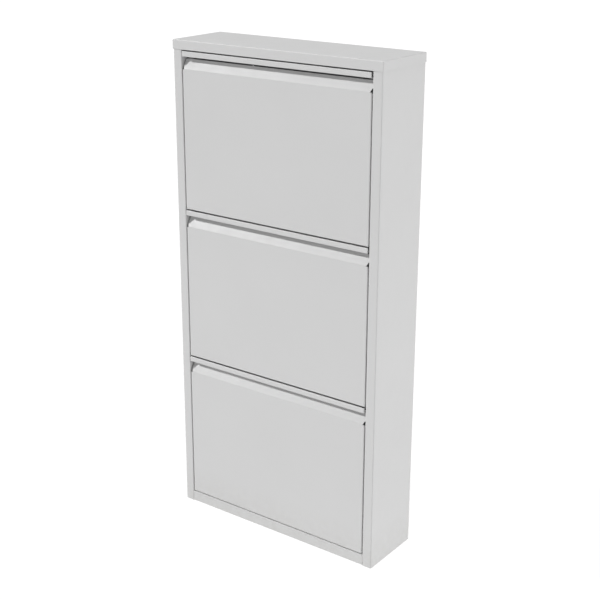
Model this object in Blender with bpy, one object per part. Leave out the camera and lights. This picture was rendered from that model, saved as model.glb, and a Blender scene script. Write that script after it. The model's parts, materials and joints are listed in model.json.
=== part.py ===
"""Slim sheet-steel shoe cabinet with three tip-out flaps, as an assembly of separate pieces.

Frame: metres, +Z up, origin on the floor at the middle of the footprint, flaps facing -Y.
Each flap turns about a pivot line parallel to X, just behind its lower edge. A positive turn tips its
top out. Flap pieces are modelled about their own pivot line and are parented to an empty that sits on it.
"""

import math

import bmesh
import bpy
from mathutils import Matrix, Vector

# Overall size and sheet metal
WIDTH = 0.500
DEPTH = 0.150
HEIGHT = 1.030
SHEET = 0.0008
HALF_SHEET = SHEET / 2
BEND_RADIUS = 0.0012  # at the middle of the sheet
CORNER_BEND = 0.0022  # the carcass's upright front corners
BEND_STEP = math.radians(18)
GAP = 0.0003  # between pieces that touch

# Carcass
COVER_SKIRT = 0.019
COVER_CLEARANCE = 0.0004
BODY_HALF_X = WIDTH / 2 - SHEET - COVER_CLEARANCE
RAIL_PROUD = 0.002  # the rails stand this far in front of the flaps and are the front of the cabinet
BODY_FRONT = -(DEPTH / 2 - RAIL_PROUD)
BODY_BACK = DEPTH / 2 - SHEET - COVER_CLEARANCE
BODY_BOTTOM = 0.0006  # the foot glides stand this far below the sheet metal
BODY_TOP = HEIGHT - SHEET - GAP
STILE_WIDTH = 0.0213
STILE_DEPTH = 0.0174
STILE_LIP = 0.0125
STILE_INNER = BODY_HALF_X - STILE_WIDTH
REAR_FLANGE = 0.015
PLINTH_HEIGHT = 0.0245
PLINTH_RETURN = 0.012
BASE_UPSTAND = 0.014
INNER_HALF_X = BODY_HALF_X - SHEET - GAP

# Flaps and the rails above them, as seen from the front
FLAP_NAMES = ("lower", "middle", "upper")
FLAP_PITCH = 0.328
FLAP_GAP = 0.0018
FLAP_HALF_X = STILE_INNER - 0.00225
FLAP_FACE = 0.2905
GRIP_BACK = 0.0145
GRIP_RISE = 0.0220
GRIP_LIP = 0.010
RAIL_HEIGHT = 0.0107
RAIL_FRONT_BEND = 0.0008
RAIL_END_GAP = 0.0032
RAIL_TOP_DEPTH = 0.0024
RAIL_TAB_DEPTH = 0.0042
RAIL_LIP = 0.012
RAIL_EAR_DROP = 0.0045
RAIL_EAR_INNER = 0.2115
RAIL_LIP_Y = STILE_DEPTH + GAP + HALF_SHEET
RAIL_RISE = FLAP_PITCH - FLAP_GAP - RAIL_HEIGHT

# Flap mechanism, measured from the pivot line
PIVOT_BACK = 0.008
PIVOT_UP = 0.015
FLAP_OPEN = math.radians(40)
FACE = -PIVOT_BACK
BOTTOM = -PIVOT_UP
FOLD = BOTTOM + FLAP_FACE
FLAP_FLANGE = 0.016
FLAP_BEND = 0.002
FOLD_BEND = 0.004
RELIEF_WIDTH = 0.0042
RELIEF_HEIGHT = 0.0062
POCKET_DEPTH = 0.1356
POCKET_BACK_HEIGHT = 0.205
POCKET_LIP = 0.006
CHEEK_X = FLAP_HALF_X - SHEET - GAP - HALF_SHEET
CHEEK_FLANGE = 0.012
CHEEK_FRONT_HEIGHT = 0.286
CHEEK_REAR_HEIGHT = 0.196
CHEEK_REAR = FACE + POCKET_DEPTH + SHEET + GAP
PIN_RADIUS = 0.0025
PIN_HOLE = 0.0028
PIN_END = 0.2345
BUSH_BORE = 0.00262
BUSH_BODY = 0.0037
BUSH_HEAD = 0.0055
BUSH_HOLE = 0.0040
BUSH_END = 0.2320
SLEEVE_RADIUS = 0.003
STUD_BACK = 0.118
STUD_END = 0.2385
# The sleeve meets the back of the stile's lip when the flap is fully open
STOP_Y = FACE + STILE_DEPTH + GAP + SLEEVE_RADIUS
STUD_UP = (STUD_BACK * math.cos(FLAP_OPEN) - STOP_Y) / math.sin(FLAP_OPEN)

# Fasteners and small parts
SCREW_RADIUS = 0.0015
SCREW_HOLE = 0.0018
RAIL_SCREW_X = 0.2335
BUMPER_X = 0.2165
BUMPER_RADIUS = 0.003
BUMPER_THICKNESS = 0.0016
BUMPER_HEIGHT = 0.3055
FOOT_X = 0.215
FOOT_ROWS = {"front": -0.047, "rear": 0.055}
FOOT_RADIUS = 0.0125
FOOT_HOLE = 0.003
KEYHOLE_X = 0.16
KEYHOLE_Z = 0.965

X_AXIS = Vector((1, 0, 0))
Y_AXIS = Vector((0, 1, 0))
Z_AXIS = Vector((0, 0, 1))


def clear_scene():
    for obj in list(bpy.data.objects):
        bpy.data.objects.remove(obj)


def make_material(name, colour, roughness, metallic=0.0):
    material = bpy.data.materials.new(name)
    material.use_nodes = True
    shader = material.node_tree.nodes["Principled BSDF"]
    shader.inputs["Base Color"].default_value = (*colour, 1.0)
    shader.inputs["Roughness"].default_value = roughness
    shader.inputs["Metallic"].default_value = metallic
    material.diffuse_color = (*colour, 1.0)
    return material


def finish_mesh(name, bm):
    bmesh.ops.recalc_face_normals(bm, faces=bm.faces[:])
    mesh = bpy.data.meshes.new(name)
    bm.to_mesh(mesh)
    bm.free()
    return mesh


def bent_line(path, radii=None):
    """Points along a path with a round bend at each corner, each with its direction to the left."""
    points = [Vector(point) for point in path]
    radii = radii or [BEND_RADIUS] * (len(points) - 2)
    middle = []
    for index, point in enumerate(points):
        if index in (0, len(points) - 1):
            near = points[1] - point if index == 0 else point - points[-2]
            along = near.normalized()
            middle.append((point, Vector((-along.y, along.x))))
            continue
        before = (point - points[index - 1]).normalized()
        after = (points[index + 1] - point).normalized()
        turn = math.atan2(before.x * after.y - before.y * after.x, before.dot(after))
        side = Vector((-before.y, before.x))
        radius = radii[index - 1]
        start = point - before * radius * math.tan(abs(turn) / 2)
        centre = start + side * math.copysign(radius, turn)
        steps = max(2, math.ceil(abs(turn) / BEND_STEP - 1e-6))
        for step in range(steps + 1):
            rotation = Matrix.Rotation(turn * step / steps, 2)
            middle.append((centre + rotation @ (start - centre), rotation @ side))
    return middle


def folded_outline(path, radii=None):
    """Closed outline of a folded sheet: the path is the middle of the sheet."""
    middle = bent_line(path, radii)
    left = [point + side * HALF_SHEET for point, side in middle]
    right = [point - side * HALF_SHEET for point, side in middle]
    return left + right[::-1]


def prism(name, outline, axis, low, high):
    """Extrudes a closed outline along an axis: (y, z) along X, (x, z) along Y or (x, y) along Z."""
    place = {
        "X": lambda u, v, w: (w, u, v),
        "Y": lambda u, v, w: (u, w, v),
        "Z": lambda u, v, w: (u, v, w),
    }[axis]
    bm = bmesh.new()
    rings = [[bm.verts.new(place(u, v, end)) for u, v in outline] for end in (low, high)]
    bm.faces.new(rings[0])
    bm.faces.new(rings[1][::-1])
    for index in range(len(outline)):
        after = (index + 1) % len(outline)
        bm.faces.new((rings[0][index], rings[0][after], rings[1][after], rings[1][index]))
    return finish_mesh(name, bm)


def block(name, low, high):
    outline = [(low[0], low[1]), (high[0], low[1]), (high[0], high[1]), (low[0], high[1])]
    return prism(name, outline, "Z", low[2], high[2])


def turned(name, profile, centre, direction, segments, ring=False):
    """Turns (radius, height) points about a line through centre. A ring's profile closes on itself."""
    turn = Z_AXIS.rotation_difference(direction).to_matrix()
    bm = bmesh.new()
    rows = []
    for radius, height in profile:
        count = segments if radius > 0 else 1
        angles = [2 * math.pi * (step + 0.5) / segments for step in range(count)]
        spots = [Vector((radius * math.cos(a), radius * math.sin(a), height)) for a in angles]
        rows.append([bm.verts.new(turn @ spot + Vector(centre)) for spot in spots])
    for row, above in zip(rows, rows[1:] + rows[:1] if ring else rows[1:]):
        for step in range(segments):
            after = (step + 1) % segments
            corners = [row[step % len(row)], row[after % len(row)]]
            corners += [above[after % len(above)], above[step % len(above)]]
            bm.faces.new(list(dict.fromkeys(corners)))
    mesh = finish_mesh(name, bm)
    mesh.shade_smooth()
    mesh.set_sharp_from_angle(angle=math.radians(35))
    return mesh


def hole(centre, direction, radius, reach, segments=8):
    """A cylinder that cuts a round hole, reaching this far to each side of its centre."""
    profile = [(0, -reach), (radius, -reach), (radius, reach), (0, reach)]
    return turned("hole", profile, centre, direction, segments)


def combined(name, base, tools, operation):
    """The mesh after a Boolean with each tool mesh in turn."""
    body = bpy.data.objects.new(name, base)
    bpy.context.scene.collection.objects.link(body)
    helpers = []
    for tool in tools:
        helper = bpy.data.objects.new(name + "_tool", tool)
        helper.hide_render = True
        helper.display_type = "WIRE"
        bpy.context.scene.collection.objects.link(helper)
        modifier = body.modifiers.new("tool", "BOOLEAN")
        modifier.operation = operation
        modifier.object = helper
        helpers.append(helper)
    bpy.context.view_layer.update()
    graph = bpy.context.evaluated_depsgraph_get()
    mesh = bpy.data.meshes.new_from_object(body.evaluated_get(graph))
    mesh.name = name
    for obj in [body, *helpers]:
        bpy.data.objects.remove(obj)
    return mesh


def carved(name, base, tools):
    return combined(name, base, tools, "DIFFERENCE")


def mirrored(mesh, name):
    """The other hand of a mesh, mirrored in X."""
    copy = mesh.copy()
    copy.name = name
    copy.transform(Matrix.Diagonal((-1, 1, 1, 1)))
    copy.flip_normals()
    return copy


def add(name, mesh, material, parent=None):
    obj = bpy.data.objects.new(name, mesh)
    if not mesh.materials:
        mesh.materials.append(material)
    obj.parent = parent
    bpy.context.scene.collection.objects.link(obj)
    return obj


def flap_bottom(index):
    return PLINTH_HEIGHT + FLAP_GAP + index * FLAP_PITCH


def rail_bottom(index):
    return flap_bottom(index) + RAIL_RISE


def pivot_point(index):
    return Vector((0, BODY_FRONT + PIVOT_BACK, flap_bottom(index) + PIVOT_UP))


def rail_screw_mesh(side):
    """Pan-head screw through a rail's ear and the stile's lip, for a rail whose bottom is at 0."""
    underside = BODY_FRONT + RAIL_LIP_Y + HALF_SHEET + GAP
    centre = (side * RAIL_SCREW_X, underside, -(RAIL_LIP + RAIL_EAR_DROP) / 2)
    profile = [
        (0, -0.0018),
        (0.0022, -0.0018),
        (0.0032, -0.0007),
        (0.0032, 0),
        (SCREW_RADIUS, 0),
        (SCREW_RADIUS, 0.006),
        (0, 0.006),
    ]
    return turned("rail_screw", profile, centre, -Y_AXIS, 10)


def side_panel_mesh():
    """The right side: stile lip, stile return, stile face, side web and rear flange in one folded sheet."""
    lip_y = BODY_FRONT + STILE_DEPTH - HALF_SHEET
    path = [
        (STILE_INNER + STILE_LIP, lip_y),
        (STILE_INNER + HALF_SHEET, lip_y),
        (STILE_INNER + HALF_SHEET, BODY_FRONT + HALF_SHEET),
        (BODY_HALF_X - HALF_SHEET, BODY_FRONT + HALF_SHEET),
        (BODY_HALF_X - HALF_SHEET, BODY_BACK - HALF_SHEET),
        (BODY_HALF_X - REAR_FLANGE, BODY_BACK - HALF_SHEET),
    ]
    outline = folded_outline(path, [BEND_RADIUS, BEND_RADIUS, CORNER_BEND, BEND_RADIUS])
    sheet = prism("side_panel", outline, "Z", BODY_BOTTOM, BODY_TOP)
    holes = []
    for index in range(len(FLAP_NAMES)):
        pivot = pivot_point(index) + X_AXIS * STILE_INNER
        ear = (RAIL_SCREW_X, lip_y, rail_screw_height(index))
        holes.append(hole(pivot, X_AXIS, BUSH_HOLE, 0.003, 12))
        holes.append(hole(ear, Y_AXIS, SCREW_HOLE, 0.003))
    return carved("side_panel", sheet, holes)


def rounded_box(name, low, high, radius, segments):
    bm = bmesh.new()
    bmesh.ops.create_cube(bm, size=1)
    size = Vector(high) - Vector(low)
    middle = (Vector(high) + Vector(low)) / 2
    bmesh.ops.transform(bm, matrix=Matrix.Translation(middle) @ Matrix.Diagonal((*size, 1)), verts=bm.verts[:])
    sharp = [edge for edge in bm.edges if max(vert.co.z for vert in edge.verts) > low[2] + size.z / 2]
    bmesh.ops.bevel(
        bm, geom=sharp, offset=radius, offset_type="OFFSET", segments=segments, profile=0.5, affect="EDGES"
    )
    return finish_mesh(name, bm)


def top_cover_mesh():
    """A shallow lid with welded corners, open below, that drops over the top of the carcass."""
    front = BODY_FRONT - COVER_CLEARANCE - SHEET
    low = (-WIDTH / 2, front, HEIGHT - COVER_SKIRT)
    high = (WIDTH / 2, DEPTH / 2, HEIGHT)
    shell = rounded_box("top_cover", low, high, BEND_RADIUS + HALF_SHEET, 5)
    inner_low = (low[0] + SHEET, low[1] + SHEET, low[2] - 0.005)
    inner_high = (high[0] - SHEET, high[1] - SHEET, high[2] - SHEET)
    hollow = rounded_box("hollow", inner_low, inner_high, BEND_RADIUS - HALF_SHEET, 5)
    return carved("top_cover", shell, [hollow])


def back_panel_y():
    """The middle of the back panel, which sits in front of the side panels' rear flanges."""
    return BODY_BACK - SHEET - GAP - HALF_SHEET


def base_panel_mesh():
    """Plinth lip, floor and rear upstand in one folded sheet, notched round the stiles."""
    front = BODY_FRONT + HALF_SHEET
    rear = back_panel_y() - SHEET - GAP
    floor = PLINTH_HEIGHT - HALF_SHEET
    lowest = BODY_BOTTOM + SHEET
    path = [
        (BODY_FRONT + PLINTH_RETURN, lowest),
        (front, lowest),
        (front, floor),
        (rear, floor),
        (rear, floor + BASE_UPSTAND),
    ]
    sheet = prism("base_panel", folded_outline(path), "X", -INNER_HALF_X, INNER_HALF_X)
    tools = []
    notch_x = STILE_INNER - GAP
    notch_y = BODY_FRONT + STILE_DEPTH + GAP
    for side in (-1, 1):
        ends = sorted((side * notch_x, side * WIDTH))
        tools.append(block("notch", (ends[0], -DEPTH, -0.01), (ends[1], notch_y, 0.05)))
        for row in FOOT_ROWS.values():
            tools.append(hole((side * FOOT_X, row, floor), Z_AXIS, FOOT_HOLE, 0.003))
    return carved("base_panel", sheet, tools)


def back_panel_mesh():
    """A flat sheet with two keyholes for fixing to a wall."""
    y = back_panel_y()
    low = (-INNER_HALF_X, y - HALF_SHEET, BODY_BOTTOM + GAP)
    high = (INNER_HALF_X, y + HALF_SHEET, BODY_TOP - GAP)
    tools = [keyhole(side * KEYHOLE_X, y, KEYHOLE_Z) for side in (-1, 1)]
    return carved("back_panel", block("back_panel", low, high), tools)


def keyhole(x, y, z, big=0.0055, small=0.0028, drop=0.012):
    """A round entry hole with a narrow slot above it, whose top end is round."""
    start = math.asin(small / big)
    lower = [math.pi / 2 + start + (2 * math.pi - 2 * start) * step / 10 for step in range(11)]
    upper = [math.pi * step / 5 for step in range(6)]
    outline = [(x + big * math.cos(a), z - drop + big * math.sin(a)) for a in lower]
    outline += [(x + small * math.cos(a), z + small * math.sin(a)) for a in upper]
    return prism("keyhole", outline, "Y", y - 0.003, y + 0.003)


def rail_screw_height(index):
    return rail_bottom(index) - (RAIL_LIP + RAIL_EAR_DROP) / 2


def cross_rail_mesh():
    """A thin rail with closed ends and an ear hanging at each end, behind the stile. Its bottom is at 0."""
    low = HALF_SHEET
    high = RAIL_HEIGHT - HALF_SHEET
    front = BODY_FRONT - RAIL_PROUD + HALF_SHEET
    lip = BODY_FRONT + RAIL_LIP_Y
    path = [(front + RAIL_TOP_DEPTH, high), (front, high), (front, low), (lip, low), (lip, -RAIL_LIP)]
    outline = folded_outline(path, [BEND_RADIUS, RAIL_FRONT_BEND, BEND_RADIUS])
    ear_end = STILE_INNER + 0.011
    sheet = prism("cross_rail", outline, "X", -ear_end, ear_end)
    tab_path = [(front + RAIL_TAB_DEPTH, high), (front, high), (front, low), (front + RAIL_TAB_DEPTH, low)]
    tab_outline = [point for point, _ in bent_line(tab_path, [BEND_RADIUS, RAIL_FRONT_BEND])]
    end = STILE_INNER - RAIL_END_GAP
    web_end = lip - BEND_RADIUS - HALF_SHEET
    tools = [block("between", (-RAIL_EAR_INNER, web_end, -DEPTH), (RAIL_EAR_INNER, DEPTH, RAIL_HEIGHT / 2))]
    tabs = []
    for side in (-1, 1):
        ends = sorted((side * end, side * WIDTH))
        tools.append(block("end", (ends[0], -DEPTH, -RAIL_EAR_DROP), (ends[1], DEPTH, 0.05)))
        tabs.append(prism("tab", tab_outline, "X", *sorted((side * (end - SHEET), side * end))))
        centre = (side * RAIL_SCREW_X, lip, -(RAIL_LIP + RAIL_EAR_DROP) / 2)
        tools.append(hole(centre, Y_AXIS, SCREW_HOLE, 0.003))
    return combined("cross_rail", carved("cross_rail", sheet, tools), tabs, "UNION")


def foot_glide_mesh():
    top = PLINTH_HEIGHT - SHEET - GAP
    profile = [
        (0, 0),
        (FOOT_RADIUS - 0.0015, 0),
        (FOOT_RADIUS, 0.0015),
        (FOOT_RADIUS, 0.005),
        (0.006, 0.009),
        (0.006, top),
        (0.0026, top),
        (0.0026, top + 0.004),
        (0, top + 0.004),
    ]
    return turned("foot_glide", profile, (0, 0, 0), Z_AXIS, 16)


def pivot_bush_mesh():
    """Flanged nylon bush for the right stile, on the pivot line."""
    head = STILE_INNER - GAP
    profile = [
        (BUSH_BORE, head - 0.0012),
        (BUSH_HEAD, head - 0.0012),
        (BUSH_HEAD, head),
        (BUSH_BODY, head),
        (BUSH_BODY, BUSH_END),
        (BUSH_BORE, BUSH_END),
    ]
    return turned("pivot_bush", profile, (0, 0, 0), X_AXIS, 12, ring=True)


def pivot_pin_mesh():
    """Headed pin that holds the right cheek to the flap and turns in the bush."""
    inside = CHEEK_X - HALF_SHEET - GAP
    profile = [
        (0, inside - 0.0015),
        (0.0045, inside - 0.0015),
        (0.0045, inside),
        (PIN_RADIUS, inside),
        (PIN_RADIUS, PIN_END - 0.0006),
        (PIN_RADIUS - 0.0006, PIN_END),
        (0, PIN_END),
    ]
    return turned("pivot_pin", profile, (0, 0, 0), X_AXIS, 12)


def stop_stud_mesh():
    """Headed stud on the right cheek, with a small end flange that keeps its sleeve on."""
    inside = CHEEK_X - HALF_SHEET - GAP
    profile = [
        (0, inside - 0.001),
        (0.004, inside - 0.001),
        (0.004, inside),
        (0.0018, inside),
        (0.0018, STUD_END),
        (0.0026, STUD_END),
        (0.0026, STUD_END + 0.0008),
        (0, STUD_END + 0.0008),
    ]
    return turned("stop_stud", profile, (0, STUD_BACK, STUD_UP), X_AXIS, 12)


def stop_sleeve_mesh():
    start = CHEEK_X + HALF_SHEET + GAP
    end = STUD_END - GAP
    profile = [(0.0021, start), (SLEEVE_RADIUS, start), (SLEEVE_RADIUS, end), (0.0021, end)]
    return turned("stop_sleeve", profile, (0, STUD_BACK, STUD_UP), X_AXIS, 12, ring=True)


def rail_bumper_mesh(side):
    """A rubber dot on the front of a rail's ear, for a rail whose bottom is at 0."""
    face = BODY_FRONT + RAIL_LIP_Y - HALF_SHEET - GAP
    centre = (side * BUMPER_X, face, BUMPER_HEIGHT - RAIL_RISE)
    profile = [
        (0, 0),
        (BUMPER_RADIUS, 0),
        (BUMPER_RADIUS * 0.9, BUMPER_THICKNESS * 0.7),
        (BUMPER_RADIUS * 0.5, BUMPER_THICKNESS),
        (0, BUMPER_THICKNESS),
    ]
    return turned("rail_bumper", profile, centre, -Y_AXIS, 10)


def flap_panel_mesh():
    """Face, sloping grip with its lip, and bottom flange from one sheet, with a flange bent back at each side."""
    middle = FACE + HALF_SHEET
    lip = middle + GRIP_BACK
    path = [
        (FACE + FLAP_FLANGE, BOTTOM + HALF_SHEET),
        (middle, BOTTOM + HALF_SHEET),
        (middle, FOLD),
        (lip, FOLD + GRIP_RISE),
        (lip, FOLD + GRIP_RISE - GRIP_LIP),
    ]
    outline = folded_outline(path, [FLAP_BEND, FOLD_BEND, BEND_RADIUS])
    sheet = prism("flap_panel", outline, "X", -FLAP_HALF_X, FLAP_HALF_X)
    bend = BEND_RADIUS + HALF_SHEET
    relief = 0.0005
    low = BOTTOM + 0.003
    high = FOLD - 0.0025
    notches = []
    flanges = []
    edge = FLAP_HALF_X - HALF_SHEET
    flange_path = [(edge - 0.005, middle), (edge, middle), (edge, FACE + FLAP_FLANGE)]
    outline = folded_outline(flange_path)
    flange = prism("flange", outline, "Z", low + relief, high - relief)
    for side in (-1, 1):
        ends = sorted((side * (FLAP_HALF_X - bend), side * WIDTH))
        notches.append(block("notch", (ends[0], FACE - 0.01, low), (ends[1], FACE + 0.01, high)))
        slash = [
            (side * (FLAP_HALF_X - RELIEF_WIDTH), FOLD - 0.001),
            (side * (FLAP_HALF_X - 0.0005), FOLD + RELIEF_HEIGHT),
            (side * WIDTH, FOLD + RELIEF_HEIGHT),
            (side * WIDTH, FOLD - 0.001),
        ]
        notches.append(prism("relief", slash, "Y", FACE - 0.01, FACE + 0.01))
        flanges.append(flange if side > 0 else mirrored(flange, "flange_left"))
    sheet = carved("flap_panel", sheet, notches)
    sheet = combined("flap_panel", sheet, flanges, "UNION")
    holes = [hole((side * FLAP_HALF_X, 0, 0), X_AXIS, PIN_HOLE, 0.003, 12) for side in (-1, 1)]
    return carved("flap_panel", sheet, holes)


def pocket_sheet_mesh():
    """Floor and rear wall of the shoe pocket, with a lip folded back along its top."""
    floor = BOTTOM + SHEET + GAP + HALF_SHEET
    back = FACE + POCKET_DEPTH
    top = BOTTOM + POCKET_BACK_HEIGHT
    path = [(FACE + 0.0025, floor), (back, floor), (back, top), (back + POCKET_LIP, top)]
    end = CHEEK_X - HALF_SHEET - GAP
    return prism("pocket_sheet", folded_outline(path), "X", -end, end)


def cheek_mesh():
    """Right side wall of the shoe pocket, with a rear flange behind the pocket sheet and a sloping top edge."""
    path = [(CHEEK_X, FACE + 0.0016), (CHEEK_X, CHEEK_REAR), (CHEEK_X - CHEEK_FLANGE, CHEEK_REAR)]
    low = BOTTOM + SHEET + GAP + 0.0004
    sheet = prism("cheek", folded_outline(path), "Z", low, BOTTOM + CHEEK_FRONT_HEIGHT + 0.01)
    front = (FACE, BOTTOM + CHEEK_FRONT_HEIGHT)
    rear = (CHEEK_REAR + 0.002, BOTTOM + CHEEK_REAR_HEIGHT)
    slope = [front, rear, (rear[0], FOLD + 0.1), (front[0], FOLD + 0.1)]
    tools = [
        prism("slope", slope, "X", CHEEK_X - 0.02, CHEEK_X + 0.02),
        hole((CHEEK_X, 0, 0), X_AXIS, PIN_HOLE, 0.003, 12),
        hole((CHEEK_X, STUD_BACK, STUD_UP), X_AXIS, 0.0021, 0.003, 12),
    ]
    return carved("cheek", sheet, tools)


def build_carcass(paint, inner_paint, steel, nylon, rubber):
    side = side_panel_mesh()
    add("side_panel_right", side, paint)
    add("side_panel_left", mirrored(side, "side_panel_left"), paint)
    add("top_cover", top_cover_mesh(), paint)
    add("base_panel", base_panel_mesh(), paint)
    add("back_panel", back_panel_mesh(), inner_paint)

    rail = cross_rail_mesh()
    bush = pivot_bush_mesh()
    hands = (
        ("right", rail_bumper_mesh(1), rail_screw_mesh(1), bush),
        ("left", rail_bumper_mesh(-1), rail_screw_mesh(-1), mirrored(bush, "pivot_bush_left")),
    )
    for index, name in enumerate(FLAP_NAMES):
        add("cross_rail_" + name, rail, paint).location.z = rail_bottom(index)
        for hand, bumper_mesh, screw_mesh, bush_mesh in hands:
            add(f"rail_bumper_{name}_{hand}", bumper_mesh, rubber).location.z = rail_bottom(index)
            add(f"rail_screw_{name}_{hand}", screw_mesh, steel).location.z = rail_bottom(index)
            add(f"pivot_bush_{name}_{hand}", bush_mesh, nylon).location = pivot_point(index)

    foot = foot_glide_mesh()
    for row, y in FOOT_ROWS.items():
        for side, hand in ((-1, "left"), (1, "right")):
            add(f"foot_glide_{row}_{hand}", foot, nylon).location = (side * FOOT_X, y, 0)


def build_flaps(paint, inner_paint, steel, rubber):
    panel = flap_panel_mesh()
    pocket = pocket_sheet_mesh()
    pair = (
        ("pocket_cheek", cheek_mesh(), inner_paint),
        ("pivot_pin", pivot_pin_mesh(), steel),
        ("stop_stud", stop_stud_mesh(), steel),
        ("stop_sleeve", stop_sleeve_mesh(), rubber),
    )
    left_meshes = {kind: mirrored(mesh, kind + "_left") for kind, mesh, _ in pair}
    for index, name in enumerate(FLAP_NAMES):
        pivot = bpy.data.objects.new("pivot_" + name, None)
        pivot.location = pivot_point(index)
        bpy.context.scene.collection.objects.link(pivot)
        add("flap_panel_" + name, panel, paint, pivot)
        add("pocket_sheet_" + name, pocket, inner_paint, pivot)
        for kind, mesh, material in pair:
            add(f"{kind}_{name}_right", mesh, material, pivot)
            add(f"{kind}_{name}_left", left_meshes[kind], material, pivot)


def main():
    clear_scene()
    paint = make_material("powder_coat_white", (0.72, 0.72, 0.71), 0.45)
    inner_paint = make_material("powder_coat_inner", (0.68, 0.68, 0.67), 0.5)
    steel = make_material("zinc_steel", (0.62, 0.63, 0.65), 0.35, 1.0)
    nylon = make_material("nylon", (0.80, 0.80, 0.78), 0.5)
    rubber = make_material("rubber", (0.12, 0.12, 0.12), 0.8)
    build_carcass(paint, inner_paint, steel, nylon, rubber)
    build_flaps(paint, inner_paint, steel, rubber)


main()
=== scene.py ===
"""Looks of the slim sheet-steel shoe cabinet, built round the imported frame.

The CAD pieces hold the sizes. Here each one is replaced by a finer piece of the same size: sheet metal with
round bends and softened edges, turned small parts, and the rivets and screws that the CAD model leaves out.
Meshes are modelled in place at the lower flap and on the right-hand side, then moved or mirrored for the
rest.
"""

import json
import math

import bmesh
import bpy
from mathutils import Matrix, Vector


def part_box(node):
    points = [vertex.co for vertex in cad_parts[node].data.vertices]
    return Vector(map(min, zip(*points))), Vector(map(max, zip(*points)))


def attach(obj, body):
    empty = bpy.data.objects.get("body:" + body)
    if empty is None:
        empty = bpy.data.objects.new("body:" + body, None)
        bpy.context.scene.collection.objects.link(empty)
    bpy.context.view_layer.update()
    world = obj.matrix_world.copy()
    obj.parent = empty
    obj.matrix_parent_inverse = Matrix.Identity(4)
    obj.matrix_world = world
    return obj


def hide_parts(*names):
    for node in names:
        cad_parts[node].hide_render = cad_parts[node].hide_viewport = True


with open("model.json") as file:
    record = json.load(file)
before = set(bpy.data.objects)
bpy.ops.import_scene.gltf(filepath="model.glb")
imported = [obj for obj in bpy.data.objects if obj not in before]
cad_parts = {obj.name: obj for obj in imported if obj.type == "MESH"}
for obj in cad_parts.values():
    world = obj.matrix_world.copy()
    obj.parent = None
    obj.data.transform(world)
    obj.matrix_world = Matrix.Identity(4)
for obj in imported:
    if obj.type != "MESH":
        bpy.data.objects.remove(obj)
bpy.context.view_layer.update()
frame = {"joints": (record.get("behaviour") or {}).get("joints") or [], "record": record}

# Measures read from the frame
SIDE_LOW, SIDE_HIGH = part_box("side_panel_right")
COVER_LOW, COVER_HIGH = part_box("top_cover")
BASE_LOW, BASE_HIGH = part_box("base_panel")
BACK_LOW, BACK_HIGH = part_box("back_panel")
RAIL_LOW, RAIL_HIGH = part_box("cross_rail_lower")
FLAP_LOW, FLAP_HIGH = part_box("flap_panel_lower")
POCKET_LOW, POCKET_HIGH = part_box("pocket_sheet_lower")
CHEEK_LOW, CHEEK_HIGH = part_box("pocket_cheek_lower_right")
JOINTS = {joint["child"]: Vector(joint["pos_m"]) for joint in frame["joints"]}
PIVOT = JOINTS["flap_lower"]
SHEET = BACK_HIGH.y - BACK_LOW.y
HALF_SHEET = SHEET / 2
FRONT = SIDE_LOW.y
BODY_OF = {node: body for body, nodes in frame["record"]["behaviour"]["bodies"].items() for node in nodes}
SLOT_OF = {row["node"]: row["material_slot"] for row in frame["record"]["subparts"]}
FLAPS = ("lower", "middle", "upper")
HANDS = (("left", -1), ("right", 1))

# Sheet metal, and how far cutting tools reach past it
GAP = 0.0003
BEND_RADIUS = 0.0012
CORNER_BEND = 0.0022
BEND_STEP = math.radians(10)
EDGE_ROUNDING = 0.00016
FREE_EDGE_STEPS = 6
CORNER_STEPS = 4
CUT = 0.01
FAR = 1.0

# Carcass
STILE_DEPTH = 0.0174
STILE_LIP = 0.0125
REAR_FLANGE = 0.015
PLINTH_HEIGHT = 0.0245
PLINTH_RETURN = 0.012
KEYHOLE_X = 0.16
KEYHOLE_HEIGHT = 0.965
KEYHOLE_ENTRY = 0.0055
KEYHOLE_SLOT = 0.0028
KEYHOLE_DROP = 0.012
RAIL_FRONT_BEND = 0.0008
RAIL_DROP = 0.012
RAIL_END_GAP = 0.0032
RAIL_TOP_DEPTH = 0.0024
RAIL_TAB_DEPTH = 0.0042
RAIL_EAR_DROP = 0.0045
RAIL_EAR_INNER = 0.2115
BUSH_HOLE = 0.0040
SCREW_HOLE = 0.0018
FOOT_HOLE = 0.003

# Flaps
FLAP_FACE = 0.2905
FLAP_BEND = 0.002
FOLD_BEND = 0.004
GRIP_BACK = 0.0145
GRIP_RISE = 0.0220
GRIP_LIP = 0.010
FLAP_FLANGE = 0.016
FLANGE_START = 0.003
FLANGE_END = 0.0025
FLANGE_LAP = 0.005
FLANGE_RELIEF = 0.0005
RELIEF_WIDTH = 0.0042
RELIEF_HEIGHT = 0.0062
RELIEF_START = 0.001
RELIEF_EDGE = 0.0005
FOLD = FLAP_LOW.z + FLAP_FACE
POCKET_LIP = 0.006
CHEEK_FRONT_HEIGHT = 0.286
CHEEK_REAR_HEIGHT = 0.196
CHEEK_SLOPE_REACH = 0.002
PIN_HOLE = 0.0028
STUD_HOLE = 0.0021

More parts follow.
